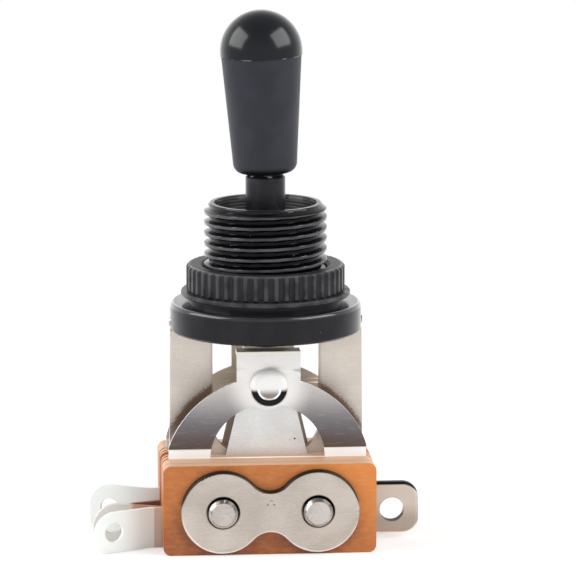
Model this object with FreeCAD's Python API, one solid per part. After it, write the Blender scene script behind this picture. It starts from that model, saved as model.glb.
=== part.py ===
import FreeCAD, Part
import math
import os

# Three-way toggle switch that selects a guitar's pickups. Millimetres, +Z up along the bushing,
# the front towards -Y. The lever rocks to the front and to the back about a pin along X.
# Origin: centre of the raised land on the bushing's flange, which a panel is clamped against.

V = FreeCAD.Vector
ALONG_X = V(1, 0, 0)
ALONG_Y = V(0, 1, 0)
ALONG_Z = V(0, 0, 1)
ORIGIN = V(0, 0, 0)

# Bushing: threaded neck and flange, turned in one piece
thread_radius = 6.0
neck_length = 9.05
neck_chamfer = 0.6
rim_width = 0.4
thread_pitch = 1.03
thread_depth = 0.5
thread_crest = 0.2
thread_start = 0.7
throat_radius = 2.65
throat_top = 0.0
land_width = 1.4
land_height = 0.65
flange_radius = 9.33
flange_height = 2.8
flange_round = 0.35
flange_foot_chamfer = 0.2

# Washer and fluted nut on the neck
thread_clearance = 0.05
washer_width = 2.25
washer_thickness = 0.45
washer_chamfer = 0.1
nut_width = 1.72
nut_height = 2.55
nut_chamfer = 0.2
nut_bore_chamfer = 0.3
flute_count = 48
flute_radius = 0.36
flute_depth = 0.25

# Lever, its pivot pin and the insulating actuator on its lower end
pivot_depth = 2.65
pin_radius = 0.5
pin_stand_out = 0.12
pin_chamfer = 0.15
pivot_clearance = 0.05
hub_radius = 2.25
rod_radius = 1.94
rod_chamfer = 0.25
shoulder_height = 11.8
stud_radius = 1.5
stud_length = 9.2
tail_radius = 1.0
actuator_width = 4.4
actuator_depth = 2.6
actuator_top = 4.95
actuator_bottom = 9.55
actuator_round = 0.7
tail_cover = 0.5
nose_radius = 0.8
nose_clearance = 0.1

# Tip screwed on the lever
tip_gap = 0.17
tip_length = 11.48
tip_foot_radius = 3.12
tip_foot_round = 1.0
tip_shoulder_radius = 3.9
tip_dome_radius = 4.0
tip_dome_band = 0.4
tip_lean = 1.9
tip_recess_radius = 2.1
tip_recess_depth = 0.4
tip_bore_spare = 0.4

# Frame: one stamped plate with two legs, on the switch's middle plane
frame_step = 0.03
frame_flare = 0.1
frame_thickness = 1.2
leg_width = 4.12
window_corner = 3.0

# Insulating stack below the frame's window, clamped by two rivets
stack_drop = 12.35
stack_margin = 0.91
stack_height = 8.9
stack_corner = 0.75
inner_insulator = 0.5
middle_insulator = 0.8
outer_insulator = 1.9
cover_insulator = 1.3
leaf_thickness = 0.4
leaf_inset = 0.3
leaf_overhang = 0.2

# Clamp plates, rivets and the sleeves that insulate them
rivet_spacing = 9.24
rivet_drop = 4.55
clamp_thickness = 0.8
clamp_lobe_radius = 4.07
clamp_waist = 4.05
clamp_round = 0.25
rivet_radius = 1.1
rivet_head_radius = 1.42
rivet_head_height = 0.6
rivet_head_chamfer = 0.3
rivet_clearance = 0.05
countersink_radius = 1.6
countersink_depth = 0.25
sleeve_wall = 0.35
sleeve_clearance = 0.05

# Contact leaf: a springy arch with a folded tab and a pressed pocket for the actuator's nose
arch_overhang = 0.44
arch_outer_sink = 1.75
arch_inner_radius = 5.6
arch_foot_height = 0.85
arch_stand_out = 1.54
tab_width = 6.2
tab_top_gap = 1.5
tab_fold_length = 1.5
knee_drop = 3.2
pocket_drop = 5.0
pocket_radius = 1.75
pocket_flat_radius = 1.1
pocket_height = 1.0
pocket_seat = 0.1
pocket_land = 2.25
scallop_radius = 0.6

# Centre leaf: a tapered tongue that the contact rivet on the arch's back meets
tongue_foot_width = 8.0
tongue_top_width = 5.2
tongue_rise = 5.9
tongue_corner = 0.6
rear_tongue_spare = 0.4
contact_drop = 0.35
contact_radius = 0.42
contact_gap = 0.05

# Solder lugs: one of the frame's on the right, four of the leaves' on the left
lug_low_gap = 0.08
lug_hole_radius = 1.0
lug_top_corner = 2.2
lug_foot_corner = 1.2
lug_bend_gap = 0.05
contact_lug_flat = 1.06
contact_lug_length = 6.1
contact_lug_height = 4.0
contact_lug_turn = 25.0
contact_lug_hole_inset = 2.06
rear_contact_lug_height = 4.8
centre_lug_slope_length = 3.1
centre_lug_length = 6.6
centre_lug_height = 3.8
centre_lug_hole_inset = 1.8
frame_lug_low_gap = 0.45
frame_lug_length = 4.7
frame_lug_height = 5.25
frame_lug_corner = 1.6
frame_lug_round = 0.35
frame_lug_hole_radius = 1.2
frame_lug_hole_inset = 2.64
frame_lug_hole_level = 2.5

# Places that follow from the sizes above
land_radius = thread_radius + land_width
washer_radius = thread_radius + washer_width
nut_radius = thread_radius + nut_width
frame_half = flange_radius + frame_step
foot_half = frame_half + frame_flare
window_half = frame_half - leg_width
stack_half = foot_half + stack_margin
leaf_half = foot_half + leaf_overhang
arch_outer_radius = leaf_half + arch_overhang
rivet_side = rivet_spacing / 2
flange_top = -land_height
flange_bottom = flange_top - flange_height
stack_top = flange_bottom - stack_drop
stack_bottom = stack_top - stack_height
rivet_level = stack_top - rivet_drop
rivet_places = [V(side * rivet_side, 0, rivet_level) for side in (-1, 1)]
inner_face = frame_thickness / 2
centre_leaf_face = inner_face + inner_insulator
middle_face = centre_leaf_face + leaf_thickness
contact_leaf_face = middle_face + middle_insulator
outer_face = contact_leaf_face + leaf_thickness
clamp_face = outer_face + outer_insulator + cover_insulator
head_face = clamp_face + clamp_thickness
sleeve_radius = rivet_radius + rivet_clearance + sleeve_wall
sleeve_hole_radius = sleeve_radius + sleeve_clearance
arch_bend_level = stack_top + arch_foot_height
knee_level = flange_bottom - knee_drop
knee_face = outer_face + arch_stand_out
arch_rise = knee_level - arch_bend_level
outer_bow_radius = (arch_rise ** 2 + arch_stand_out ** 2) / (2 * arch_stand_out)
inner_bow_radius = outer_bow_radius - leaf_thickness
bow_centre = outer_bow_radius - knee_face
pocket_level = flange_bottom - pocket_drop
tab_top = flange_bottom - tab_top_gap
tongue_top = stack_top + tongue_rise
contact_level = tongue_top - contact_drop
nut_bottom = washer_thickness
tip_foot = shoulder_height + tip_gap
lug_low = stack_bottom + lug_low_gap


def loop(corners, bulges=()):
    """Face within a closed line through the corners; bulges maps an edge's index to its arc's middle."""
    bulges = dict(bulges)
    edges = []
    for i, (start, end) in enumerate(zip(corners, corners[1:] + corners[:1])):
        if i in bulges:
            edges.append(Part.Arc(start, bulges[i], end).toShape())
        else:
            edges.append(Part.LineSegment(start, end).toShape())
    return Part.Face(Part.Wire(edges))


def revolved(points, bulges=()):
    """Solid of revolution about Z from (radius, height) points; the bulges are given the same way."""
    corners = [V(r, 0, z) for r, z in points]
    middles = {i: V(r, 0, z) for i, (r, z) in dict(bulges).items()}
    return loop(corners, middles).revolve(ORIGIN, ALONG_Z, 360)


def arc_middle(centre_r, centre_z, radius, up=1):
    """Middle of the quarter arc that runs outwards and upwards (or downwards) about a centre."""
    part = radius * math.sqrt(1 / 2)
    return (centre_r + part, centre_z + up * part)


def disc_y(radius, x, z, y_low, y_high):
    """Cylinder along Y between two depths."""
    return Part.makeCylinder(radius, y_high - y_low, V(x, y_low, z), ALONG_Y)


def plate(x_low, x_high, z_low, z_high, y_low, y_high):
    """Upright plate between two depths."""
    return Part.makeBox(x_high - x_low, y_high - y_low, z_high - z_low, V(x_low, y_low, z_low))


def rounded(shape, radius, wanted):
    """Rounds the edges along Y whose place (x, z) is wanted."""
    edges = []
    for edge in shape.Edges:
        ends = [v.Point for v in edge.Vertexes]
        if len(ends) != 2:
            continue
        run = ends[1] - ends[0]
        if abs(run.x) + abs(run.z) < abs(run.y) / 1000 and wanted(ends[0].x, ends[0].z):
            edges.append(edge)
    return shape.makeFillet(radius, edges)


def everywhere(x, z):
    return True


def rivet_holes(radius, y_low, y_high):
    return [disc_y(radius, p.x, p.z, y_low, y_high) for p in rivet_places]


def mirrored(shape):
    """The same piece on the other side of the frame."""
    return shape.mirror(ORIGIN, ALONG_Y)


def make_bushing():
    round_centre = (flange_radius - flange_round, flange_top - flange_round)
    profile = [
        (throat_radius, flange_bottom),
        (flange_radius - flange_foot_chamfer, flange_bottom),
        (flange_radius, flange_bottom + flange_foot_chamfer),
        (flange_radius, flange_top - flange_round),
        (flange_radius - flange_round, flange_top),
        (land_radius, flange_top),
        (land_radius, 0),
        (thread_radius, 0),
    ]
    profile += thread_grooves()
    profile += [
        (thread_radius, neck_length - neck_chamfer),
        (thread_radius - neck_chamfer, neck_length),
        (thread_radius - neck_chamfer - rim_width, neck_length),
        (throat_radius, throat_top),
    ]
    body = revolved(profile, [(3, arc_middle(*round_centre, flange_round))])
    pin_hole = Part.makeCylinder(pin_radius, 2 * flange_radius, V(-flange_radius, 0, -pivot_depth), ALONG_X)
    return body.cut(pin_hole)


def thread_grooves():
    """Ring grooves at the thread's pitch, lowest first, that stand for the thread's single turning one."""
    count = int((neck_length - neck_chamfer - thread_start) / thread_pitch)
    points = []
    for i in range(count):
        low = thread_start + i * thread_pitch
        high = low + thread_pitch - thread_crest
        points += [
            (thread_radius, low),
            (thread_radius - thread_depth, (low + high) / 2),
            (thread_radius, high),
        ]
    return points


def make_washer():
    bore = thread_radius + thread_clearance
    profile = [
        (bore, 0),
        (washer_radius - washer_chamfer, 0),
        (washer_radius, washer_chamfer),
        (washer_radius, washer_thickness - washer_chamfer),
        (washer_radius - washer_chamfer, washer_thickness),
        (bore, washer_thickness),
    ]
    return revolved(profile)


def fluted_disc(radius, height):
    """Disc whose rim has evenly spaced hollow flutes."""
    flute_centre = radius + flute_radius - flute_depth
    reach = (radius ** 2 + flute_centre ** 2 - flute_radius ** 2) / (2 * flute_centre)
    half_mouth = math.degrees(math.acos(reach / radius))
    step = 360 / flute_count
    edges = []
    for i in range(flute_count):
        at = i * step
        start, end = rim_point(radius, at - half_mouth), rim_point(radius, at + half_mouth)
        floor = rim_point(radius - flute_depth, at)
        crest = rim_point(radius, at + step / 2)
        after = rim_point(radius, at + step - half_mouth)
        edges.append(Part.Arc(start, floor, end).toShape())
        edges.append(Part.Arc(end, crest, after).toShape())
    return Part.Face(Part.Wire(edges)).extrude(V(0, 0, height))


def rim_point(radius, angle_deg):
    angle = math.radians(angle_deg)
    return V(radius * math.cos(angle), radius * math.sin(angle), 0)


def make_nut():
    bore = thread_radius + thread_clearance
    envelope = revolved([
        (bore, nut_bore_chamfer),
        (bore + nut_bore_chamfer, 0),
        (nut_radius - nut_chamfer, 0),
        (nut_radius, nut_chamfer),
        (nut_radius, nut_height - nut_chamfer),
        (nut_radius - nut_chamfer, nut_height),
        (bore + nut_bore_chamfer, nut_height),
        (bore, nut_height - nut_bore_chamfer),
    ])
    nut = fluted_disc(nut_radius, nut_height).common(envelope)
    nut.translate(V(0, 0, nut_bottom))
    return nut


def make_pivot_pin():
    half = flange_radius + pin_stand_out
    pin = Part.makeCylinder(pin_radius, 2 * half, V(-half, 0, -pivot_depth), ALONG_X)
    return pin.makeChamfer(pin_chamfer, [e for e in pin.Edges if e.Closed])


def make_lever():
    hub = Part.makeSphere(hub_radius, V(0, 0, -pivot_depth))
    rod = revolved([
        (0, -actuator_bottom + tail_cover),
        (tail_radius, -actuator_bottom + tail_cover),
        (tail_radius, -actuator_top),
        (rod_radius, -actuator_top),
        (rod_radius, shoulder_height - rod_chamfer),
        (rod_radius - rod_chamfer, shoulder_height),
        (stud_radius, shoulder_height),
        (stud_radius, shoulder_height + stud_length),
        (0, shoulder_height + stud_length),
    ])
    bore = Part.makeCylinder(
        pin_radius + pivot_clearance, 4 * hub_radius, V(-2 * hub_radius, 0, -pivot_depth), ALONG_X)
    return rod.fuse(hub).cut(bore).removeSplitter()


def make_actuator():
    half_width, half_depth = actuator_width / 2, actuator_depth / 2
    block = plate(-half_width, half_width, -actuator_bottom, -actuator_top, -half_depth, half_depth)
    block = rounded(block, actuator_round, lambda x, z: z < -actuator_top - actuator_round)
    pocket_floor = bow_face(outer_bow_radius, pocket_level) + pocket_height - leaf_thickness
    reach = pocket_floor - nose_clearance - nose_radius
    nose = disc_y(nose_radius, 0, pocket_level, -reach, reach)
    ends = [Part.makeSphere(nose_radius, V(0, side * reach, pocket_level)) for side in (-1, 1)]
    tail = Part.makeCylinder(
        tail_radius, actuator_bottom - tail_cover - actuator_top, V(0, 0, -actuator_bottom + tail_cover))
    return block.fuse([nose] + ends).removeSplitter().cut(tail)


def make_tip():
    top = tip_length
    round_middle = arc_middle(tip_foot_radius - tip_foot_round, tip_foot_round, tip_foot_round, -1)
    dome_centre = top + tip_dome_band
    outside = revolved(
        [
            (0, 0),
            (tip_foot_radius - tip_foot_round, 0),
            (tip_foot_radius, tip_foot_round),
            (tip_shoulder_radius, top),
            (tip_dome_radius, top),
            (tip_dome_radius, dome_centre),
            (0, dome_centre + tip_dome_radius),
        ],
        [(1, round_middle), (5, arc_middle(0, dome_centre, tip_dome_radius))],
    )
    outside.rotate(ORIGIN, ALONG_Y, -tip_lean)
    outside.translate(V(0, 0, tip_foot))
    bore = Part.makeCylinder(stud_radius, stud_length + tip_bore_spare, V(0, 0, shoulder_height))
    recess = Part.makeCylinder(tip_recess_radius, tip_gap + tip_recess_depth, V(0, 0, shoulder_height))
    return outside.cut([bore, recess])


def outline(points, y_low, y_high):
    """Plate between two depths with a straight-edged outline of (x, z) points."""
    return loop([V(x, y_low, z) for x, z in points]).extrude(V(0, y_high - y_low, 0))


def make_frame():
    low = stack_bottom
    body = outline(
        [(-frame_half, flange_bottom), (frame_half, flange_bottom), (foot_half, stack_top),
         (foot_half, low), (-foot_half, low), (-foot_half, stack_top)],
        -inner_face, inner_face)
    body = rounded(body, stack_corner, lambda x, z: z < low + stack_corner)
    window = plate(
        -window_half, window_half, stack_top, flange_bottom + 2 * window_corner,
        -frame_thickness, frame_thickness)
    window = rounded(window, window_corner, lambda x, z: z < stack_top + window_corner)
    body = body.cut(window).fuse(frame_lug())
    return body.cut(rivet_holes(sleeve_hole_radius, -frame_thickness, frame_thickness)).removeSplitter()


def frame_lug():
    """Flat solder lug on the right, its outline rounded over on both faces."""
    root = foot_half - stack_corner
    reach = stack_half + frame_lug_length
    low = stack_bottom + frame_lug_low_gap
    lug = plate(root, reach, low, low + frame_lug_height, -inner_face, inner_face)
    lug = rounded(lug, frame_lug_corner, lambda x, z: x > reach - frame_lug_corner)
    rims = [e for e in lug.Edges if lies_on(e, -inner_face) or lies_on(e, inner_face)]
    rims = [e for e in rims if max(v.Point.x for v in e.Vertexes) > root + frame_lug_round]
    lug = lug.makeFillet(frame_lug_round, rims)
    hole = disc_y(frame_lug_hole_radius, reach - frame_lug_hole_inset, low + frame_lug_hole_level,
                  -inner_face, inner_face)
    return lug.cut(hole)


def lies_on(edge, depth):
    """Whether an edge lies in the upright plane at a depth."""
    box = edge.BoundBox
    return abs(box.YMin - depth) + abs(box.YMax - depth) < leaf_thickness / 100


def offset(points, distance):
    """The same broken line moved to its left, its corners mitred."""
    headings = [math.atan2(b[1] - a[1], b[0] - a[0]) for a, b in zip(points, points[1:])]
    moved = []
    for i, (x, y) in enumerate(points):
        before, after = headings[max(i - 1, 0)], headings[min(i, len(headings) - 1)]
        middle = (before + after) / 2
        reach = distance / math.cos((after - before) / 2)
        moved.append((x - reach * math.sin(middle), y + reach * math.cos(middle)))
    return moved


def leaf_lug(path, height, hole_inset):
    """Solder lug bent along the (x, y) path of its front face, which starts at its round free end."""
    strip = path + offset(path, leaf_thickness)[::-1]
    lug = loop([V(x, y, lug_low) for x, y in strip]).extrude(V(0, 0, height))
    end, bend = V(*path[0], lug_low), V(*path[1], lug_low)
    for corner, level in ((lug_top_corner, height), (lug_foot_corner, 0)):
        place = end + V(0, 0, level)
        lug = lug.makeFillet(corner, [e for e in lug.Edges if crosses_strip(e, place)])
    along = (bend - end).normalize()
    across = V(-along.y, along.x, 0)
    centre = end + along * hole_inset + V(0, 0, height / 2)
    hole = Part.makeCylinder(lug_hole_radius, 3 * leaf_thickness, centre - across * leaf_thickness, across)
    return lug.cut(hole)


def crosses_strip(edge, place):
    """Whether an edge starts at a place and runs through the strip's thickness."""
    near = min((v.Point - place).Length for v in edge.Vertexes)
    return near < leaf_thickness / 100 and abs(edge.Length - leaf_thickness) < leaf_thickness / 100


def contact_leaf_lug(height):
    """Lug of the front contact leaf, turned forwards outside the stack."""
    bend_x = -stack_half - contact_lug_flat
    turn = math.radians(contact_lug_turn)
    end_x = bend_x - contact_lug_length * math.cos(turn)
    end_y = -outer_face - contact_lug_length * math.sin(turn)
    path = [(end_x, end_y), (bend_x, -outer_face), (stack_corner - leaf_half, -outer_face)]
    return leaf_lug(path, height, contact_lug_hole_inset)


def centre_leaf_lug():
    """Lug of the front centre leaf, led inwards until it lies against the rear leaf's on the middle plane."""
    start_x = -stack_half - lug_bend_gap
    flat_x = start_x - centre_lug_slope_length
    path = [
        (-stack_half - centre_lug_length, -leaf_thickness),
        (flat_x, -leaf_thickness),
        (start_x, -middle_face),
        (stack_corner - leaf_half, -middle_face),
    ]
    return leaf_lug(path, centre_lug_height, centre_lug_hole_inset)


def leaf_root(y_low, y_high):
    """The part of a leaf that the stack clamps."""
    low = stack_bottom + leaf_inset
    root = plate(-leaf_half, leaf_half, low, stack_top, y_low, y_high)
    return rounded(root, stack_corner, lambda x, z: z < low + stack_corner)


def bow_face(radius, level):
    """Distance from the middle plane to the bowed leaf's face of that radius, at a level."""
    return math.sqrt(radius ** 2 - (knee_level - level) ** 2) - bow_centre


def bow_lean(level):
    """Degrees by which the bowed leaf leans from upright at a level."""
    return math.degrees(math.asin((knee_level - level) / outer_bow_radius))


def make_arch_sheet():
    """Front contact leaf above the stack, in full width: upright foot, bow, upright tab with its fold."""
    t = leaf_thickness
    inner_start = knee_level - math.sqrt(inner_bow_radius ** 2 - (bow_centre + contact_leaf_face) ** 2)
    halfway = (knee_level + arch_bend_level) / 2
    points = [
        (-outer_face, stack_top),
        (-outer_face, arch_bend_level),
        (-knee_face, knee_level),
        (-knee_face, tab_top),
        (-knee_face + tab_fold_length + t, tab_top),
        (-knee_face + tab_fold_length + t, tab_top - t),
        (-knee_face + t, tab_top - t),
        (-knee_face + t, knee_level),
        (-contact_leaf_face, inner_start),
        (-contact_leaf_face, stack_top),
    ]
    corners = [V(-leaf_half, y, z) for y, z in points]
    bulges = {
        1: V(-leaf_half, -bow_face(outer_bow_radius, halfway), halfway),
        7: V(-leaf_half, -bow_face(inner_bow_radius, halfway), halfway),
    }
    return loop(corners, bulges).extrude(V(2 * leaf_half, 0, 0))


def arch_outline(y_low, y_high):
    """Front outline of the arch with its tab, extruded between two depths."""
    centre = stack_top - arch_outer_sink
    ring = disc_y(arch_outer_radius, 0, centre, y_low, y_high)
    ring = ring.common(plate(-leaf_half, leaf_half, stack_top, tab_top, y_low, y_high))
    tab = plate(-tab_width / 2, tab_width / 2, pocket_level, tab_top, y_low, y_high)
    land = disc_y(pocket_land, 0, pocket_level, y_low, y_high)
    opening = disc_y(arch_inner_radius, 0, stack_top, y_low, y_high)
    return ring.fuse(tab).cut(opening).fuse(land).cut(arch_opening_bites(y_low, y_high))


def arch_opening_bites(y_low, y_high):
    """Small hollows that ease the corners between the opening and the pocket's land."""
    rise = pocket_level - stack_top
    inner, outer = arch_inner_radius - scallop_radius, pocket_land + scallop_radius
    along = (inner ** 2 - outer ** 2 + rise ** 2) / (2 * rise)
    across = math.sqrt(inner ** 2 - along ** 2)
    return [disc_y(scallop_radius, side * across, stack_top + along, y_low, y_high) for side in (-1, 1)]


def make_front_contact_leaf(lug_height):
    arch = make_arch_sheet().common(arch_outline(-head_face, 0))
    shell, hollow = make_pocket()
    arch = arch.fuse(shell).cut(hollow)
    y_low, y_high = -outer_face, -contact_leaf_face
    leaf = arch.fuse([leaf_root(y_low, y_high), contact_leaf_lug(lug_height)])
    return leaf.cut(rivet_holes(sleeve_hole_radius, y_low, y_high)).removeSplitter()


def make_pocket():
    """Round pocket pressed outwards from the leaning leaf: the solid to add and the hollow to cut."""
    t = leaf_thickness
    wall = t * (pocket_radius - pocket_flat_radius) / pocket_height
    middle = (pocket_radius * 2 + pocket_flat_radius) / 3
    bulge = pocket_height * 2 / 3
    shell = revolved(
        [(0, -t), (pocket_radius, -t), (pocket_radius, -pocket_seat), (pocket_flat_radius, pocket_height),
         (0, pocket_height)],
        [(2, (middle + wall, bulge))])
    hollow = revolved(
        [(0, -2 * t), (pocket_radius - t, -2 * t), (pocket_radius - t, -t / 2),
         (pocket_flat_radius - t / 2, pocket_height - t), (0, pocket_height - t)])
    for solid in (shell, hollow):
        solid.rotate(ORIGIN, ALONG_X, 90 + bow_lean(pocket_level))
        solid.translate(V(0, -bow_face(outer_bow_radius, pocket_level), pocket_level))
    return shell, hollow


def tongue(y_low, y_high, spare):
    """Tapered tongue with rounded upper corners, wider by the spare on each side."""
    foot, top = tongue_foot_width / 2 + spare, tongue_top_width / 2 + spare
    blade = outline(
        [(-foot, stack_top), (foot, stack_top), (top, tongue_top), (-top, tongue_top)], y_low, y_high)
    return rounded(blade, tongue_corner, lambda x, z: z > tongue_top - tongue_corner)


def make_front_centre_leaf(spare):
    y_low, y_high = -middle_face, -centre_leaf_face
    leaf = leaf_root(y_low, y_high).fuse([tongue(y_low, y_high, spare), centre_leaf_lug()])
    return leaf.cut(rivet_holes(sleeve_hole_radius, y_low, y_high)).removeSplitter()


def make_front_contact():
    """Contact rivet square to the back of the bowed arch; its round end meets the tongue."""
    leaf_back = bow_face(inner_bow_radius, contact_level)
    lean = bow_lean(contact_level)
    reach = (leaf_back - middle_face - contact_gap) / math.cos(math.radians(lean))
    contact = revolved(
        [(0, 0), (contact_radius, 0), (contact_radius, reach - contact_radius), (0, reach)],
        [(2, arc_middle(0, reach - contact_radius, contact_radius))],
    )
    contact.rotate(ORIGIN, ALONG_X, lean - 90)
    contact.translate(V(0, -leaf_back, contact_level))
    return contact


def make_insulator(y_low, y_high):
    sheet = plate(-stack_half, stack_half, stack_bottom, stack_top, y_low, y_high)
    sheet = rounded(sheet, stack_corner, everywhere)
    return sheet.cut(rivet_holes(sleeve_hole_radius, y_low, y_high))


def make_front_clamp_plate():
    """Plate with two round lobes and a waist whose hollows are tangent to both lobes."""
    y_low, y_high = -head_face, -clamp_face
    waist = clamp_waist / 2
    hollow = (rivet_side ** 2 + waist ** 2 - clamp_lobe_radius ** 2) / (2 * (clamp_lobe_radius - waist))
    hollow_rise = waist + hollow
    touch = rivet_side * hollow / (hollow + clamp_lobe_radius)
    lobes = [disc_y(clamp_lobe_radius, p.x, p.z, y_low, y_high) for p in rivet_places]
    bridge = plate(-touch, touch, rivet_level - clamp_lobe_radius, rivet_level + clamp_lobe_radius,
                   y_low, y_high)
    bites = [disc_y(hollow, 0, rivet_level + side * hollow_rise, y_low, y_high) for side in (-1, 1)]
    figure = lobes[0].fuse([lobes[1], bridge]).cut(bites).removeSplitter()
    figure = figure.makeFillet(clamp_round, [e for e in figure.Edges if lies_on(e, y_low)])
    holes = rivet_holes(rivet_radius + rivet_clearance, y_low, y_high)
    sinks = [
        Part.makeCone(countersink_radius, rivet_radius + rivet_clearance, countersink_depth,
                      V(p.x, y_low, p.z), ALONG_Y)
        for p in rivet_places
    ]
    return figure.cut(holes + sinks)


def make_rivet(place):
    head_top = head_face + rivet_head_height
    shank = disc_y(rivet_radius, place.x, place.z, -head_face, head_face)
    heads = []
    for side in (-1, 1):
        head = Part.makeCylinder(
            rivet_head_radius, rivet_head_height, V(place.x, side * head_face, place.z), V(0, side, 0))
        rim = [e for e in head.Edges if e.Closed and lies_on(e, side * head_top)]
        heads.append(head.makeChamfer(rivet_head_chamfer, rim))
    return shank.fuse(heads)


def make_sleeve(place):
    outside = disc_y(sleeve_radius, place.x, place.z, -clamp_face, clamp_face)
    inside = disc_y(rivet_radius + rivet_clearance, place.x, place.z, -clamp_face, clamp_face)
    return outside.cut(inside)


def stack_sheets():
    """Insulating sheets of the front half, by name, with the depths of their faces."""
    outer_split = outer_face + outer_insulator
    return {
        "inner_insulator": (-centre_leaf_face, -inner_face),
        "middle_insulator": (-contact_leaf_face, -middle_face),
        "outer_insulator": (-outer_split, -outer_face),
        "cover_insulator": (-clamp_face, -outer_split),
    }


def make_parts():
    front_contact = make_front_contact()
    front_clamp_plate = make_front_clamp_plate()
    parts = {
        "bushing": make_bushing(),
        "washer": make_washer(),
        "nut": make_nut(),
        "pivot_pin": make_pivot_pin(),
        "lever": make_lever(),
        "actuator": make_actuator(),
        "tip": make_tip(),
        "frame": make_frame(),
        "front_contact_leaf": make_front_contact_leaf(contact_lug_height),
        "rear_contact_leaf": mirrored(make_front_contact_leaf(rear_contact_lug_height)),
        "front_centre_leaf": make_front_centre_leaf(0),
        "rear_centre_leaf": mirrored(make_front_centre_leaf(rear_tongue_spare)),
        "front_contact": front_contact,
        "rear_contact": mirrored(front_contact),
        "front_clamp_plate": front_clamp_plate,
        "rear_clamp_plate": mirrored(front_clamp_plate),
    }
    for name, (y_low, y_high) in stack_sheets().items():
        sheet = make_insulator(y_low, y_high)
        parts["front_" + name] = sheet
        parts["rear_" + name] = mirrored(sheet)
    for side, place in zip(("left", "right"), rivet_places):
        parts[side + "_rivet"] = make_rivet(place)
        parts[side + "_sleeve"] = make_sleeve(place)
    return parts


os.makedirs("parts", exist_ok=True)
for node, shape in make_parts().items():
    shape.exportStep("parts/" + node + ".step")
    print(node, "solids", len(shape.Solids), "valid", shape.isValid(), "volume", round(shape.Volume, 3))
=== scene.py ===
import math

import bmesh
import bpy
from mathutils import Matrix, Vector


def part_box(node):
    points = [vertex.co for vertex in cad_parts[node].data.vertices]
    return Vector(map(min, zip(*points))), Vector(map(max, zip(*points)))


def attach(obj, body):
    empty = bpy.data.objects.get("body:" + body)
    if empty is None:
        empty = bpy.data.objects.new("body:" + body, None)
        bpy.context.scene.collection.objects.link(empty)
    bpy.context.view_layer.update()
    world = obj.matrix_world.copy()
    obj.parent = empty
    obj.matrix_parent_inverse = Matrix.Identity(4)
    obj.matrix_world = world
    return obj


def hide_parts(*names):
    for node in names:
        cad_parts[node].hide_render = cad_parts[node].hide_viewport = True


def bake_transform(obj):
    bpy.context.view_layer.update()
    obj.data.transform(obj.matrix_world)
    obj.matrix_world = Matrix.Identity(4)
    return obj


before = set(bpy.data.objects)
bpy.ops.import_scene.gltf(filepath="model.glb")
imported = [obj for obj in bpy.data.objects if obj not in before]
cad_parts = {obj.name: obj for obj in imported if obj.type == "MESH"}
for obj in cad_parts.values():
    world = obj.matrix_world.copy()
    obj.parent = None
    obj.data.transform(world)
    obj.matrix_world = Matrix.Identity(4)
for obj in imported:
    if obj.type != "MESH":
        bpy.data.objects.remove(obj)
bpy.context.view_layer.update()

MM = 0.001
HOUSING = "housing_body"


def corners_mm(node):
    """Lowest and highest corner of a CAD node, in millimetres."""
    return [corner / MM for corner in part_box(node)]


bushing_low, bushing_high = corners_mm("bushing")
stack_low, stack_high = corners_mm("front_cover_insulator")
nut_low, nut_high = corners_mm("nut")
tip_low = corners_mm("tip")[0]
leaf_high = corners_mm("front_contact_leaf")[1]
left_rivet, right_rivet = [
    (low + high) / 2 for low, high in map(corners_mm, ("left_rivet", "right_rivet"))]

# Sizes that the pieces' boxes don't give, in millimetres, and the tip's lean
THREAD_RADIUS = 6.0
THREAD_PITCH = 1.03
LAND_RADIUS = 7.4
FLANGE_TOP = -0.65
FLANGE_ROUND = 0.35
SHOULDER_LEVEL = 11.8
SEAM_LEVEL = tip_low.z + 11.55
TIP_LEAN = math.radians(1.9)
LEG_INNER_EDGE = 5.24
SHEET_JOINT = 4.6
CLAMP_LOBE = 4.07
RIVET_SINK = 1.6

# The contact leaf: where it leaves its upright foot, where its bow ends, and its arch and pocket
BEND_LEVEL = stack_high.z + 0.85
KNEE_LEVEL = bushing_low.z - 3.2
LEAF_FOOT_FACE = 2.7
LEAF_THICKNESS = 0.4
ARCH_CENTRE = stack_high.z - 1.75
ARCH_RADIUS = 10.1
ARCH_STAND_OUT = 1.54
POCKET_LEVEL = bushing_low.z - 5.0
POCKET_RADIUS = 1.75
POCKET_FLAT = 1.1


# Shading tools


class Signal:
    """A shader socket that can be added, multiplied and compared like a number."""

    def __init__(self, nodes, socket):
        self.nodes = nodes
        self.socket = socket

    def operate(self, operation, *terms):
        """Adds a Math node for the terms."""
        return self.nodes.node("ShaderNodeMath", {"operation": operation}, terms)

    def __add__(self, other):
        return self.operate("ADD", self, other)

    def __sub__(self, other):
        return self.operate("SUBTRACT", self, other)

    def __rsub__(self, other):
        return self.operate("SUBTRACT", other, self)

    def __mul__(self, other):
        return self.operate("MULTIPLY", self, other)

    def __abs__(self):
        return self.operate("ABSOLUTE", self)

    __radd__ = __add__
    __rmul__ = __mul__

    def sine(self):
        return self.operate("SINE", self)

    def root(self):
        return self.operate("SQRT", self)

    def smaller(self, other):
        return self.operate("MINIMUM", self, other)

    def larger(self, other):
        return self.operate("MAXIMUM", self, other)

    def rise(self, low, high):
        """0 up to low and 1 from high on, smooth in between; falls where low is the larger."""
        if low > high:
            return 1 - self.rise(high, low)
        return self.nodes.node(
            "ShaderNodeMapRange", {"interpolation_type": "SMOOTHSTEP"},
            {"Value": self, "From Min": low, "From Max": high, "To Min": 0.0, "To Max": 1.0})

    def within(self, low, high, fade):
        """1 between low and high, fading to 0 on both sides."""
        return self.rise(low - fade, low) * self.rise(high + fade, high)


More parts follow.
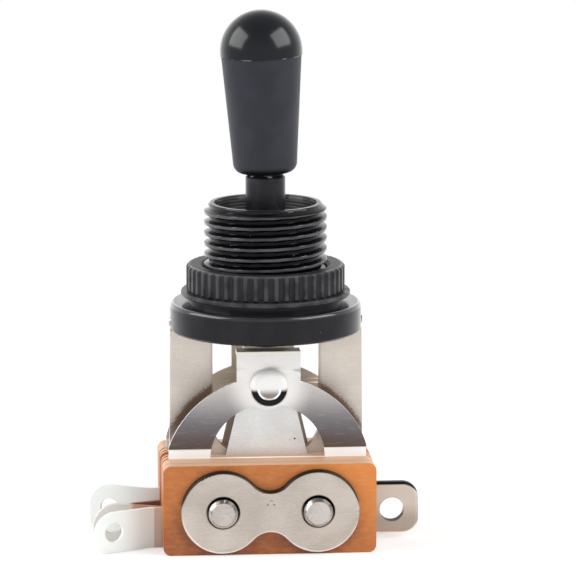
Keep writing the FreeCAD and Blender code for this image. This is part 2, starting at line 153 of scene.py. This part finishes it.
class Nodes:
    """The node tree of a material or a world."""

    def __init__(self, owner):
        owner.use_nodes = True
        self.tree = owner.node_tree

    def node(self, kind, settings, inputs, output=0):
        """Adds a node: settings first, then its inputs by name or place; gives one output."""
        made = self.tree.nodes.new(kind)
        for name, value in settings.items():
            setattr(made, name, value)
        pairs = inputs.items() if isinstance(inputs, dict) else enumerate(inputs)
        for key, value in pairs:
            self.join(made.inputs[key], value)
        return Signal(self, made.outputs[output])

    def join(self, socket, value):
        """Links a Signal to a socket, or sets the socket's own value."""
        if isinstance(value, Signal):
            self.tree.links.new(value.socket, socket)
        else:
            socket.default_value = value

    def parts(self, vector):
        """A vector's x, y and z as Signals."""
        split = self.node("ShaderNodeSeparateXYZ", {}, [vector]).socket.node
        return [Signal(self, out) for out in split.outputs]


class Shade(Nodes):
    """A material with one Principled shader, fed by expressions on Signals."""

    def __init__(self, name, **constants):
        self.material = bpy.data.materials.new(name)
        super().__init__(self.material)
        self.shader = self.tree.nodes["Principled BSDF"]
        self.place = self.node("ShaderNodeTexCoord", {}, {}, "Object")
        self.feed(**constants)

    def feed(self, **values):
        """Sets the shader's inputs; an underscore in a name stands for a space."""
        for name, value in values.items():
            self.join(self.shader.inputs[name.replace("_", " ")], value)

    def axes(self):
        """The place's x, y and z in millimetres, in the frame at rest."""
        return [part * (1 / MM) for part in self.parts(self.place)]

    def facing(self):
        """The surface's own direction as x, y and z, in the frame at rest."""
        return self.parts(self.node("ShaderNodeTexCoord", {}, {}, "Normal"))

    def noise(self, grain_mm, detail, stretch=(1, 1, 1)):
        """Noise from 0 to 1 with grains of that size, times the stretch along each axis."""
        scale = [1 / (grain_mm * MM * s) for s in stretch]
        place = self.node("ShaderNodeMapping", {}, {"Vector": self.place, "Scale": scale})
        return self.node("ShaderNodeTexNoise", {}, {"Vector": place, "Scale": 1.0, "Detail": detail})

    def specks(self, spacing_mm, size, share):
        """Round specks: one place per spacing, of which that share holds a speck of that size in it."""
        distance = self.node(
            "ShaderNodeTexVoronoi", {}, {"Vector": self.place, "Scale": 1 / (spacing_mm * MM)}, "Distance")
        lot = self.parts(Signal(self, distance.socket.node.outputs["Color"]))[0]
        chosen = lot.rise(1 - share, 1 - share + 0.01)
        return distance.rise(size, size / 2) * chosen

    def blend(self, share, first, second):
        """Colour between two colours, given as Signals or as six-figure codes."""
        first, second = [rgb(c) if isinstance(c, str) else c for c in (first, second)]
        return self.node("ShaderNodeMix", {"data_type": "RGBA"}, {0: share, 6: first, 7: second}, 2)

    def bump(self, height_mm):
        """Feeds the shader's normal with a height given in millimetres."""
        normal = self.node("ShaderNodeBump", {}, {"Height": height_mm, "Distance": MM, "Strength": 1.0})
        self.feed(Normal=normal)

    def cover(self, mesh):
        """Becomes the mesh's only material."""
        mesh.materials.clear()
        mesh.materials.append(self.material)


def rgb(code):
    """Linear colour from a six-figure display code."""
    parts = [int(code[i:i + 2], 16) / 255 for i in (0, 2, 4)]
    return tuple(c / 12.92 if c < 0.04045 else ((c + 0.055) / 1.055) ** 2.4 for c in parts) + (1.0,)


def dress(shade, *names):
    """Gives the material to CAD nodes."""
    for name in names:
        shade.cover(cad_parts[name].data)


# Materials


def black_plating():
    """Black plating: glossy thread crests with a painted highlight, glossy flange edge, grooves darkened by
    painted shade, turned funnel, bright chips.
    """
    s = Shade("black_plating", Metallic=0.0, Specular_IOR_Level=0.17, Coat_Roughness=0.07)
    ring_pitch = 0.3
    x, y, z = s.axes()
    radius = (x * x + y * y).root()
    wear = s.noise(2.5, 4.0)
    grain = s.noise(0.12, 2.0)
    patches = s.noise(3.0, 2.0).rise(0.35, 0.65)
    neck = z.rise(nut_low.z, nut_low.z + 0.2)
    crest = radius.rise(THREAD_RADIUS - 0.05, THREAD_RADIUS - 0.01) * neck
    funnel = radius.rise(THREAD_RADIUS - 0.5, THREAD_RADIUS - 0.8) * neck
    rim = z.rise(bushing_high.z - 0.5, bushing_high.z - 0.3)
    side_top = FLANGE_TOP - FLANGE_ROUND
    edge = z.rise(side_top - 0.1, side_top + 0.05) * radius.rise(bushing_high.x - 0.4, bushing_high.x - 0.3)
    chips = s.specks(0.6, 0.09, 0.14) * (neck + 0.35).smaller(1)
    body = s.blend(wear.rise(0.35, 0.75), "121217", "1B1B20")
    # Painted shade: the thread's flanks and roots are painted near-black.
    body = s.blend(neck * (1 - crest), body, "040406")
    # Painted highlight: a thin lighter line along the thread's crests, in patches.
    body = s.blend(crest * (1 - rim) * (patches * 0.4 + 0.2), body, "55555E")
    body = s.blend(funnel * 0.8, body, "232327")
    s.feed(Base_Color=s.blend(chips * wear.rise(0.4, 0.6), body, "C9C7C2"))
    gloss = ((crest + rim * 0.5).smaller(1) * 0.6).larger(edge)
    s.feed(Coat_Weight=gloss + (1 - neck) * (1 - edge) * 0.25)
    s.feed(Roughness=wear * 0.08 + grain * 0.04 + 0.16 + funnel * 0.14)
    rings = (z * (2 * math.pi / ring_pitch)).sine() * funnel
    s.bump(grain * 0.003 + rings * 0.006 + wear * 0.012)
    return s


def black_oxide():
    """Matte black nut and washer, lighter on the crests and rims: partly rubbed wear, partly a painted
    highlight.
    """
    s = Shade("black_oxide", Metallic=0.0, Specular_IOR_Level=0.34)
    x, y, z = s.axes()
    radius = (x * x + y * y).root()
    wear = s.noise(1.6, 4.0)
    grain = s.noise(0.1, 2.0)
    outside = nut_high.x
    crest = radius.rise(outside - 0.2, outside - 0.02)
    brim = radius.rise(outside - 0.5, outside - 0.25) * z.rise(nut_high.z - 0.25, nut_high.z - 0.1)
    # The lighter crests and top rims are partly rubbed wear and partly a painted highlight.
    rubbed = crest.larger(brim * 1.6) * wear.rise(0.3, 0.6)
    chips = s.specks(0.7, 0.09, 0.14) * wear.rise(0.45, 0.6)
    body = s.blend(wear.rise(0.3, 0.8), "161619", "202023")
    body = s.blend((rubbed * 0.4).smaller(0.6), body, "545457")
    s.feed(Base_Color=s.blend(chips, body, "B9B7B2"))
    s.feed(Roughness=grain * 0.1 + 0.42 - rubbed * 0.1)
    s.bump(grain * 0.008 + wear * 0.01)
    return s


def tip_plastic():
    """Matte moulded body with painted shade at its foot, and a polished dome above the seam, which leans
    with the tip.
    """
    s = Shade("tip_plastic", Metallic=0.0, Specular_IOR_Level=0.2, Coat_Roughness=0.14)
    x, _, z = s.axes()
    height = z * math.cos(TIP_LEAN) - x * math.sin(TIP_LEAN)
    seam = SEAM_LEVEL * math.cos(TIP_LEAN)
    dome = height.rise(seam - 0.03, seam + 0.02)
    grain = s.noise(0.09, 3.0)
    cloud = s.noise(3.0, 3.0)
    body = s.blend(cloud.rise(0.3, 0.8), "2A2B32", "32333A")
    # Painted shade: the tip darkens towards its foot.
    body = s.blend(height.rise(tip_low.z + 1.0, tip_low.z + 0.3), body, "0C0C10")
    body = s.blend(s.specks(1.4, 0.03, 0.06) * 0.7, body, "8E8E92")
    groove = height.within(seam - 0.05, seam - 0.02, 0.04)
    glints = height.within(seam - 0.08, seam - 0.02, 0.03) * s.noise(0.8, 0.0).rise(0.6, 0.68)
    body = s.blend(dome, body, "05080F")
    s.feed(Base_Color=s.blend(glints * 0.6, body, "A8A8AC"))
    s.feed(Roughness=(grain * 0.1 + 0.42) * (1 - dome) + dome * (cloud * 0.06 + 0.17))
    s.feed(Coat_Weight=dome * 0.38)
    s.bump(grain * 0.01 * (1 - dome) - groove * 0.03 + cloud * 0.01)
    return s


def black_steel():
    """Dark satin steel of the lever, darkened by painted shade where it goes into the bushing, with painted
    highlights in places on its shoulder's edge.
    """
    s = Shade("black_steel", Metallic=0.4, Specular_IOR_Level=0.4)
    z = s.axes()[2]
    wear = s.noise(1.2, 4.0)
    turning = s.noise(0.08, 2.0, (12, 12, 1))
    patches = s.noise(0.9, 0.0).rise(0.54, 0.62)
    # Painted highlights in patches along the shoulder's edge.
    edge = z.within(SHOULDER_LEVEL - 0.12, SHOULDER_LEVEL, 0.03) * patches
    body = s.blend(wear.rise(0.4, 0.8), "222227", "303036")
    # Painted shade: the lever darkens where it goes down into the bushing.
    body = s.blend(z.rise(bushing_high.z + 0.4, bushing_high.z - 2.5) * 0.6, body, "0F0F12")
    s.feed(Base_Color=s.blend(edge, body, "C8C8CC"))
    s.feed(Roughness=wear * 0.12 + turning * 0.08 + 0.2)
    s.bump(turning * 0.004 + wear * 0.01)
    return s


class Nickel(Shade):
    """Nickel plating: fine speckle, soft clouds and brushing; each piece adds its own tones."""

    def __init__(self, name, light, dark, roughness, scratch):
        super().__init__(name, Metallic=1.0)
        self.x, self.y, self.z = self.axes()
        self.speckle = self.noise(0.16, 3.0)
        self.cloud = self.noise(3.5, 3.0)
        self.brush = self.noise(0.09, 2.0, (14, 14, 1))
        self.roughness = self.speckle * 0.1 + self.cloud * 0.06 + self.brush * scratch * 0.14 + roughness
        self.relief = self.brush * 0.005 * scratch + self.speckle * 0.004
        tone = self.cloud * 0.5 + self.speckle * 0.3 + self.brush * 0.2
        self.colour = self.blend(tone.rise(0.36, 0.64), dark, light)

    def paint(self, share, code):
        """Lays a tone over the plating's colour."""
        self.colour = self.blend(share, self.colour, code)

    def pit(self, holes, code="3A3532"):
        """Small dark holes in the plating."""
        self.paint(holes, code)
        self.relief = self.relief - holes * 0.04

    def finish(self):
        """Feeds what the piece's tones and relief came to."""
        self.feed(Base_Color=self.colour, Roughness=self.roughness)
        self.bump(self.relief)
        return self


def frame_nickel():
    """Legs with a painted brown shadow beside the arch and painted shade inside them, and the right lug
    with painted shade and painted reflections, dark on its upper edge.
    """
    s = Nickel("frame_nickel", "E1D9D0", "D1C8BF", 0.4, 0.4)
    up = s.facing()[2]
    # Painted shadow of the arch: a brown band on the legs just outside the arch's outer edge, fading
    # towards the feet.
    painted_shadow_drop = 0.55
    height = s.z - (ARCH_CENTRE - painted_shadow_drop)
    from_arch = (s.x * s.x + height * height).root() - ARCH_RADIUS
    leg = s.z.rise(stack_high.z + 0.5, stack_high.z + 3.5)
    s.paint(from_arch.rise(1.3, 0.6) * leg * 0.25, "A58C74")
    s.paint((from_arch + s.speckle * 0.7).rise(1.1, 0.75) * leg * 0.8, "74533D")
    # Painted shade: the legs' inner edges and the frame inside them are painted darker brown.
    inner_edge = abs(s.x).rise(LEG_INNER_EDGE + 0.22, LEG_INNER_EDGE + 0.12) * leg
    s.paint(inner_edge * 0.4, "B9A690")
    lug = s.x.rise(stack_high.x + 0.05, stack_high.x + 0.15)
    # The right lug is painted darker, and darker still towards its bottom as painted shade; its downward
    # faces get a painted bright reflection and its upward faces a painted dark reflection.
    s.paint(lug * 0.7, "C3B8AC")
    s.paint(lug * s.z.rise(right_rivet.z - 0.5, right_rivet.z - 2.5) * 0.7, "A19385")
    s.paint(lug * up.rise(-0.1, -0.5), "FBF5EC")
    s.paint(lug * up.rise(0.2, 0.45), "1E1B1E")
    return s.finish()


def paint_pocket(s, radius, height):
    """Pocket in painted light and shade: a painted highlight above, painted black shade on the lower slope,
    painted bright crescents and painted brown shade on the lower flat; gives the share of its upper part.
    """
    # All of the pocket's tones here are painted light and shade.
    pocket = radius.rise(POCKET_RADIUS + 0.3, POCKET_RADIUS + 0.05)
    s.paint(pocket * height.rise(-0.1, 0.3), "E9E7E5")
    slope = radius.within(POCKET_FLAT + 0.05, POCKET_RADIUS - 0.05, 0.1)
    s.paint(slope * height.rise(0.05, -0.35), "15151A")
    crescent = radius.within(POCKET_FLAT - 0.1, POCKET_FLAT + 0.02, 0.06) * height.rise(0.1, -0.1)
    s.paint(crescent * abs(s.x).rise(0.25, 0.7), "FFFFFF")
    flat = radius.rise(POCKET_FLAT - 0.05, POCKET_FLAT - 0.2)
    s.paint(flat * height.rise(0.1, -0.7) * 0.85, "6E5A50")
    return pocket * height.rise(-0.1, 0.4)


def leaf_nickel():
    """Arch with painted shade darkening it to its feet and a painted highlight round its pocket, above an
    upright strip painted bright; lugs and fold painted near-white as painted highlights, painted shade on
    the rear leaf's inner face and on the front lug's stem.
    """
    s = Nickel("leaf_nickel", "D8D4D0", "C6C2BF", 0.26, 0.8)
    away = s.facing()[1]
    stack_side = -stack_high.x
    height = s.z - POCKET_LEVEL
    radius = (s.x * s.x + height * height).root()
    arch = s.z.rise(BEND_LEVEL + 0.06, BEND_LEVEL + 0.12)
    depth = s.z.rise(KNEE_LEVEL, BEND_LEVEL + 2.2) * arch
    # Painted shade: the arch darkens towards its feet.
    s.paint(depth * 0.92, "57555C")
    # Painted highlight round the pocket and above it.
    round_pocket = radius.rise(4.6, POCKET_RADIUS + 0.05)
    s.paint((round_pocket + height.rise(0.5, 2.2)).smaller(1) * 0.75, "EFEDEB")
    # Painted highlight: the upright strip below the bend is painted bluish white.
    s.paint(1 - arch, "F8FCFF")
    # Painted highlight on the arch's edges.
    painted_edge_highlight = abs(away).rise(0.6, 0.3) * arch
    s.paint(painted_edge_highlight * 0.7, "FFFFFF")
    # Painted shade on the rear leaf's inner face.
    rear_inside = s.y.rise(0.0, 0.2) * (1 - away.rise(-0.5, 0.5))
    s.paint(rear_inside * 0.85, "D9CCBB")
    upper_pocket = paint_pocket(s, radius, height)
    scratches = s.noise(0.05, 0.0, (30, 1, 1.4)).rise(0.68, 0.76)
    s.paint(scratches * depth.rise(0.7, 0.95) * 0.25, "C4BDBA")
    # Painted highlight: the lugs are painted near-white.
    lug = s.x.rise(stack_side + 0.2, stack_side)
    s.paint(lug, "E1E5E2")
    # Painted shade: the front lug's stem is painted brown.
    front_stem = s.x.within(stack_side - 0.7, stack_side, 0.1) * s.y.rise(-2.0, -2.5)
    s.paint(front_stem * 0.75, "BCA48F")
    # Painted highlight: the fold at the top is painted bright cream.
    fold = s.z.rise(leaf_high.z - 0.3, leaf_high.z - 0.2)
    s.paint(fold, "FFFAEC")
    # Less metallic where light is painted: the lugs, the fold, the pocket's upper part and the upright
    # strip.
    matte_painted_light = (lug * 0.85).larger(fold * 0.9).larger(upper_pocket * 0.85).larger(1 - arch)
    s.feed(Metallic=1 - matte_painted_light.larger(rear_inside * 0.5).larger(depth * 0.4))
    s.roughness = s.roughness + upper_pocket * 0.2
    return s.finish()


def tongue_nickel():
    """Centre leaves: pale plating with black pits; painted brown shade on the rear leaf above the stack and
    at the foot, and a painted brown reflection on the lugs' stems.
    """
    s = Nickel("tongue_nickel", "EDF0F1", "DDDFE0", 0.4, 0.4)
    stack_side = -stack_high.x
    rear = s.y.rise(0.0, 0.2)
    # Painted shade: the rear leaf is painted brown just above the stack.
    s.paint(rear * s.z.rise(stack_high.z, stack_high.z + 0.5) * 0.8, "AB967F")
    # Painted shade: the leaves are painted browner at the foot.
    foot = s.z.rise(stack_high.z + 1.0, stack_high.z)
    s.paint(foot * 0.3, "B08E72")
    pits = (s.specks(1.7, 0.07, 0.4) + s.specks(0.8, 0.06, 0.2)).smaller(1)
    s.pit(pits * s.z.rise(stack_high.z, stack_high.z + 0.3))
    lug = s.x.rise(stack_side + 0.2, stack_side)
    s.paint(lug, "DAD6D1")
    # Painted reflection: the lugs' stems are painted red-brown.
    stem = s.x.rise(stack_side - 3.4, stack_side - 2.4) * s.x.rise(stack_side + 0.1, stack_side)
    s.paint(stem * 0.8, "A2603A")
    s.feed(Metallic=s.cloud * 0.1 + 0.55)
    return s.finish()


def clamp_nickel():
    """Clamp plates: warm speckled plating; painted reflections, dark on the rolled upper rim and bright on
    the lower, and painted shade round the rivet heads.
    """
    s = Nickel("clamp_nickel", "C6BCB3", "AFA59B", 0.32, 0.3)
    _, away, up = s.facing()
    rim = abs(away).rise(0.995, 0.93)
    # Painted reflections on the rolled rim: dark where it faces up, bright where it faces down.
    s.paint(rim * up.rise(0.05, 0.25) * 0.95, "1F1A18")
    s.paint(rim * up.rise(-0.05, -0.3) * 0.6, "FFFAF2")
    for rivet in (left_rivet, right_rivet):
        side, rise = s.x - rivet.x, s.z - rivet.z
        from_rivet = (side * side + rise * rise).root()
        # Painted shade round each rivet head, darkest on its upper side.
        sink = from_rivet.rise(RIVET_SINK + 0.12, RIVET_SINK)
        s.paint(sink * 0.5, "6B5F55")
        s.paint(sink * (rise + side * 0.3).rise(-0.9, 0.5), "241E1A")
    scuff_level = right_rivet.z + 0.9
    at_scuff = abs(s.x).rise(0.6, 0.3) * abs(s.z - scuff_level).rise(0.5, 0.2)
    s.pit(s.noise(0.22, 2.0).rise(0.6, 0.68) * at_scuff, "4A4440")
    s.pit(s.specks(1.3, 0.05, 0.12))
    return s.finish()


def rivet_nickel():
    """Rivets and pin: polished, with slightly faceted bevels on the heads and a painted dark reflection on
    their upper side.
    """
    s = Nickel("rivet_nickel", "BFB9B4", "A8A19C", 0.2, 0.4)
    across, away, up = s.facing()
    bevel = abs(away).rise(0.98, 0.8)
    # Painted dark reflection on the heads' upper bevel.
    s.paint(bevel * up.rise(0.0, 0.4) * across.rise(-0.6, 0.3) * 0.85, "2C2825")
    facets = s.noise(0.7, 0.0)
    s.relief = s.relief + facets.rise(0.35, 0.65) * bevel * 0.06
    return s.finish()


def phenolic():
    """Paper-phenolic sheets: mottled amber faces painted lighter towards the top and the right, painted
    shade round the clamp's lobes, pale cut edges painted lighter where they face up, dark joints between
    sheets.
    """
    s = Shade("phenolic", Metallic=0.0, Specular_IOR_Level=0.4)
    x, y, z = s.axes()
    _, away, up = s.facing()
    cloud = s.noise(6.0, 4.0)
    fibre = s.noise(0.25, 4.0, (3, 1, 1))
    height = z.rise(stack_low.z, stack_high.z)
    right = x.rise(0, stack_high.x)
    # Painted light: the sheets get lighter towards the top and the right, over a random cloudy tone.
    tone = cloud * 0.4 + height * 0.3 + right * 0.3
    warm = s.blend(tone.rise(0.2, 0.75), "8C4B26", "C87836")
    side, rise = abs(x) - right_rivet.x, z - right_rivet.z
    from_rivet = (side * side + rise * rise).root()
    shade = from_rivet.rise(CLAMP_LOBE + 1.2, CLAMP_LOBE)
    warm = s.blend(shade * z.rise(right_rivet.z + 1, right_rivet.z - 3) * 0.75, warm, "6A3826")
    base = s.blend(fibre.rise(0.35, 0.75) * 0.14, warm, "F0A55C")
    edge = abs(away).rise(0.8, 0.4)
    upward = up.rise(0.2, 0.6)
    # The cut edges are pale, and painted lighter where they face up and more amber where they face
    # sideways, as painted light.
    base = s.blend(edge * upward * 0.7, base, "CDAE8E")
    base = s.blend(edge * (1 - upward) * 0.35, base, "C77742")
    joint = abs(abs(y) - SHEET_JOINT).rise(0.07, 0.03) * edge
    base = s.blend(joint * 0.8, base, "7A4222")
    rubbed = s.specks(0.8, 0.05, 0.12) * away.rise(-0.5, -0.9)
    s.feed(Base_Color=s.blend(rubbed * 0.8, base, "F4C99A"))
    s.feed(Roughness=fibre * 0.15 + 0.36)
    s.bump(fibre * 0.005 + cloud * 0.01)
    return s


def nylon():
    """Off-white moulded actuator and sleeves."""
    s = Shade("white_nylon", Metallic=0.0, Roughness=0.45)
    cloud = s.noise(1.5, 3.0)
    s.feed(Base_Color=s.blend(cloud, "DDD9CC", "EDEAE0"))
    return s


def silver():
    """Bright contact rivets."""
    s = Shade("silver_contact", Metallic=1.0)
    cloud = s.noise(0.5, 3.0)
    s.feed(Base_Color=s.blend(cloud, "C9C6C0", "E6E4E0"), Roughness=cloud * 0.2 + 0.25)
    return s


bushing_plating = black_plating()
leaf_plating = leaf_nickel()
contact_silver = silver()
dress(bushing_plating, "bushing")
dress(black_oxide(), "washer", "nut")
dress(tip_plastic(), "tip")
dress(black_steel(), "lever")
dress(frame_nickel(), "frame")
dress(tongue_nickel(), "front_centre_leaf", "rear_centre_leaf")
dress(leaf_plating, "front_contact_leaf", "rear_contact_leaf")
dress(clamp_nickel(), "front_clamp_plate", "rear_clamp_plate")
dress(rivet_nickel(), "left_rivet", "right_rivet", "pivot_pin")
dress(nylon(), "actuator", "left_sleeve", "right_sleeve")
dress(contact_silver, "front_contact", "rear_contact")
dress(phenolic(), *[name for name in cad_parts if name.endswith("insulator")])


# Pieces


def add_mesh(name, mesh, shade):
    """Puts a mesh with that one material in the scene."""
    piece = bpy.data.objects.new(name, mesh)
    bpy.context.scene.collection.objects.link(piece)
    shade.cover(mesh)
    return piece


def soften(mesh):
    """Smooth shading that keeps the sharp edges."""
    sharp_from = math.radians(35)
    for face in mesh.polygons:
        face.use_smooth = True
    mesh.set_sharp_from_angle(angle=sharp_from)


def turned(name, rings, shade, steps):
    """Closed loop of rings swept about Z; each ring gives (radius, height) in mm at an angle."""
    build = bmesh.new()
    rows = []
    for ring in rings:
        row = []
        for i in range(steps):
            angle = 2 * math.pi * i / steps
            radius, height = [size * MM for size in ring(angle)]
            row.append(build.verts.new((radius * math.cos(angle), radius * math.sin(angle), height)))
        rows.append(row)
    for row, after in zip(rows, rows[1:] + rows[:1]):
        for i in range(steps):
            j = (i + 1) % steps
            build.faces.new((row[i], row[j], after[j], after[i]))
    bmesh.ops.recalc_face_normals(build, faces=build.faces[:])
    mesh = bpy.data.meshes.new(name)
    build.to_mesh(mesh)
    build.free()
    soften(mesh)
    return add_mesh(name, mesh, shade)


def quarter(centre_r, centre_z, radius, steps):
    """Points of the quarter arc from the right of its centre up to its top."""
    turns = [math.pi / 2 * i / steps for i in range(1, steps + 1)]
    return [(centre_r + radius * math.cos(t), centre_z + radius * math.sin(t)) for t in turns]


def threaded_bushing():
    """Neck with its real thread, flange and funnel, in place of the ring-grooved CAD bushing."""
    foot, rim, flange = bushing_low.z, bushing_high.z, bushing_high.x
    throat, throat_top = 2.65, 0.0
    foot_chamfer, rim_chamfer, rim_wall = 0.2, 0.6, 0.4
    thread_depth, thread_start, run_in = 0.5, 0.5, 0.6
    # As shares of a pitch: half a crest's and half a root's width, and the crest's place at angle 0
    crest_half, root_half, first_crest = 0.1, 0.12, 0.405
    around, thread_levels, funnel_levels, round_steps = 180, 150, 12, 8

    def fixed(radius, height):
        return lambda angle: (radius, height)

    def thread(height):
        def at(angle):
            phase = (height / THREAD_PITCH - angle / (2 * math.pi) - first_crest) % 1
            # 0 in the middle of a crest, 0.5 in the middle of a root
            from_crest = min(phase, 1 - phase)
            groove = (from_crest - crest_half) / (0.5 - crest_half - root_half)
            groove = min(1, max(0, groove))
            groove = groove * groove * (3 - 2 * groove)
            fade = min(1, max(0, (height - thread_start) / run_in))
            chamfered = THREAD_RADIUS - max(0, height - (rim - rim_chamfer))
            return (min(THREAD_RADIUS - thread_depth * groove * fade, chamfered), height)
        return at

    def funnel(share):
        radius = THREAD_RADIUS - rim_chamfer - rim_wall
        return fixed(radius + (throat - radius) * share, rim + (throat_top - rim) * share)

    side_top = FLANGE_TOP - FLANGE_ROUND
    outline = [(throat, foot), (flange - foot_chamfer, foot)]
    outline += [(flange, foot + foot_chamfer), (flange, side_top)]
    outline += quarter(flange - FLANGE_ROUND, side_top, FLANGE_ROUND, round_steps)
    outline += [(LAND_RADIUS, FLANGE_TOP), (LAND_RADIUS, 0)]
    rings = [fixed(radius, height) for radius, height in outline]
    rings += [thread(rim * i / thread_levels) for i in range(thread_levels + 1)]
    rings += [funnel(i / funnel_levels) for i in range(funnel_levels + 1)]
    piece = turned("threaded_bushing", rings, bushing_plating, around)
    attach(piece, HOUSING)
    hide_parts("bushing")


def bow():
    """Radii of the bowed leaf's outer and inner face, and how far past the middle plane they centre."""
    rise = KNEE_LEVEL - BEND_LEVEL
    outer = (rise ** 2 + ARCH_STAND_OUT ** 2) / (2 * ARCH_STAND_OUT)
    return (outer, outer - LEAF_THICKNESS), outer - ARCH_STAND_OUT - LEAF_FOOT_FACE


def bow_side(place):
    """Which face of the bow a point in mm is near: its radius and its distance from the middle plane."""
    reach = 0.13
    x, y, z = place
    if not BEND_LEVEL <= z <= KNEE_LEVEL or math.hypot(x, z - POCKET_LEVEL) < POCKET_RADIUS - 0.01:
        return None, None
    radii, centre = bow()
    for radius in radii:
        face = math.sqrt(radius ** 2 - (KNEE_LEVEL - z) ** 2) - centre
        if abs(abs(y) - face) < reach:
            return radius, face
    return None, None


def lay_on_bow(build):
    """Moves the points of the arch's faces from their flat facets on to the true bow."""
    for vert in build.verts:
        radius, face = bow_side(vert.co / MM)
        if radius:
            vert.co.y = math.copysign(face * MM, vert.co.y)


def shade_bow(mesh):
    """Gives the arch's bowed faces their true normals, so that long thin facets don't show."""
    radii, centre = bow()
    normals = [(0, 0, 0)] * len(mesh.loops)
    for face in mesh.polygons:
        sides = {bow_side(mesh.vertices[i].co / MM)[0] for i in face.vertices}
        if len(sides) != 1 or None in sides or abs(face.normal.y) < 0.5:
            continue
        radius = sides.pop()
        outwards = 1 if radius == radii[0] else -1
        for i in face.loop_indices:
            _, y, z = mesh.vertices[mesh.loops[i].vertex_index].co / MM
            across = math.copysign(abs(y) + centre, y)
            normals[i] = Vector((0, across, z - KNEE_LEVEL)).normalized() * outwards
    mesh.normals_split_custom_set(normals)


def bending_copy(node, name, shade):
    """Copy of a leaf or its contact, cut across at many levels from the bend up to the pocket."""
    cut_step, weld, sliver = 0.4, 0.0005, 0.002
    build = bmesh.new()
    build.from_mesh(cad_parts[node].data)
    bmesh.ops.remove_doubles(build, verts=build.verts[:], dist=weld * MM)
    level = BEND_LEVEL
    while level < POCKET_LEVEL:
        parts = build.verts[:] + build.edges[:] + build.faces[:]
        bmesh.ops.bisect_plane(build, geom=parts, plane_co=(0, 0, level * MM), plane_no=(0, 0, 1))
        level += cut_step
    is_leaf = node.endswith("leaf")
    if is_leaf:
        lay_on_bow(build)
        bmesh.ops.dissolve_degenerate(build, dist=sliver * MM, edges=build.edges[:])
    mesh = bpy.data.meshes.new(name)
    build.to_mesh(mesh)
    build.free()
    soften(mesh)
    if is_leaf:
        shade_bow(mesh)
    piece = add_mesh(name, mesh, shade)
    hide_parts(node)
    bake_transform(piece)


threaded_bushing()
for side in ("front", "rear"):
    bending_copy(side + "_contact_leaf", side + "_arch", leaf_plating)
    bending_copy(side + "_contact", side + "_contact_rivet", contact_silver)


# Stage, lights and camera


def stage_floor():
    """Pale floor that fades out with distance, so that only the soft shadow shows on the white."""
    reach, level = 0.5, stack_low.z * MM
    fade_from_mm, fade_to_mm, camera_share = 25, 130, 0.45
    build = bmesh.new()
    corners = [(-reach, -reach), (reach, -reach), (reach, reach), (-reach, reach)]
    build.faces.new([build.verts.new((x, y, level)) for x, y in corners])
    mesh = bpy.data.meshes.new("floor")
    build.to_mesh(mesh)
    build.free()
    shade = Shade("white_floor", Roughness=0.9, Specular_IOR_Level=0.0)
    x, y, _ = shade.axes()
    distance = (x * x + y * y).root()
    seen = shade.node("ShaderNodeLightPath", {}, {}, "Is Camera Ray")
    cover = distance.rise(fade_to_mm, fade_from_mm) * (1 - seen * (1 - camera_share))
    shade.feed(Base_Color=(0.95, 0.95, 0.95, 1), Alpha=cover)
    add_mesh("floor", mesh, shade)


def studio_world():
    """White to the camera; for the object bright near the horizon, most behind it, and dimmer overhead."""
    horizon, backdrop, zenith = 0.8, 1.5, 0.5
    world = bpy.data.worlds.new("studio")
    bpy.context.scene.world = world
    w = Nodes(world)
    _, away, up = w.parts(w.node("ShaderNodeTexCoord", {}, {}, "Generated"))
    behind = (away * 1.25 - 0.25).larger(0)
    low = behind * (backdrop - horizon) + horizon
    high = up.rise(0.15, 0.95)
    level = low * (1 - high) + high * zenith
    seen = w.node("ShaderNodeLightPath", {}, {}, "Is Camera Ray")
    background = w.tree.nodes["Background"]
    w.join(background.inputs["Color"], (1, 1, 1, 1))
    w.join(background.inputs["Strength"], level * (1 - seen) + seen)


def softbox(name, place):
    """Rectangular area light aimed at the object's middle."""
    data = bpy.data.lights.new(name, "AREA")
    data.shape = "RECTANGLE"
    data.size, data.size_y = 0.42, 0.32
    data.energy = 1.85
    lamp = bpy.data.objects.new(name, data)
    lamp.location = place
    lamp.rotation_euler = (-Vector(place)).to_track_quat("-Z", "Y").to_euler()
    bpy.context.scene.collection.objects.link(lamp)


def photo_camera():
    """Long lens, a little to the left and above, framed like the photograph."""
    turn, lift, distance = math.radians(4.5), math.radians(10.5), 0.4
    aside_mm, above_mm, half_field_mm = 2.195, 0.543, 28.1
    right = Vector((math.cos(turn), -math.sin(turn), 0))
    back = Vector((-math.sin(turn) * math.cos(lift), -math.cos(turn) * math.cos(lift), math.sin(lift)))
    target = (right * aside_mm + Vector((0, 0, above_mm))) * MM
    data = bpy.data.cameras.new("camera")
    data.angle = 2 * math.atan(half_field_mm * MM / distance)
    data.clip_start = 0.01
    camera = bpy.data.objects.new("camera", data)
    camera.location = target + back * distance
    camera.rotation_euler = (-back).to_track_quat("-Z", "Y").to_euler()
    bpy.context.scene.collection.objects.link(camera)
    bpy.context.scene.camera = camera


stage_floor()
studio_world()
softbox("left_softbox", (-0.395, -0.03, 0.24))
softbox("right_softbox", (0.345, -0.15, 0.27))
photo_camera()
bpy.context.scene.view_settings.view_transform = "Standard"
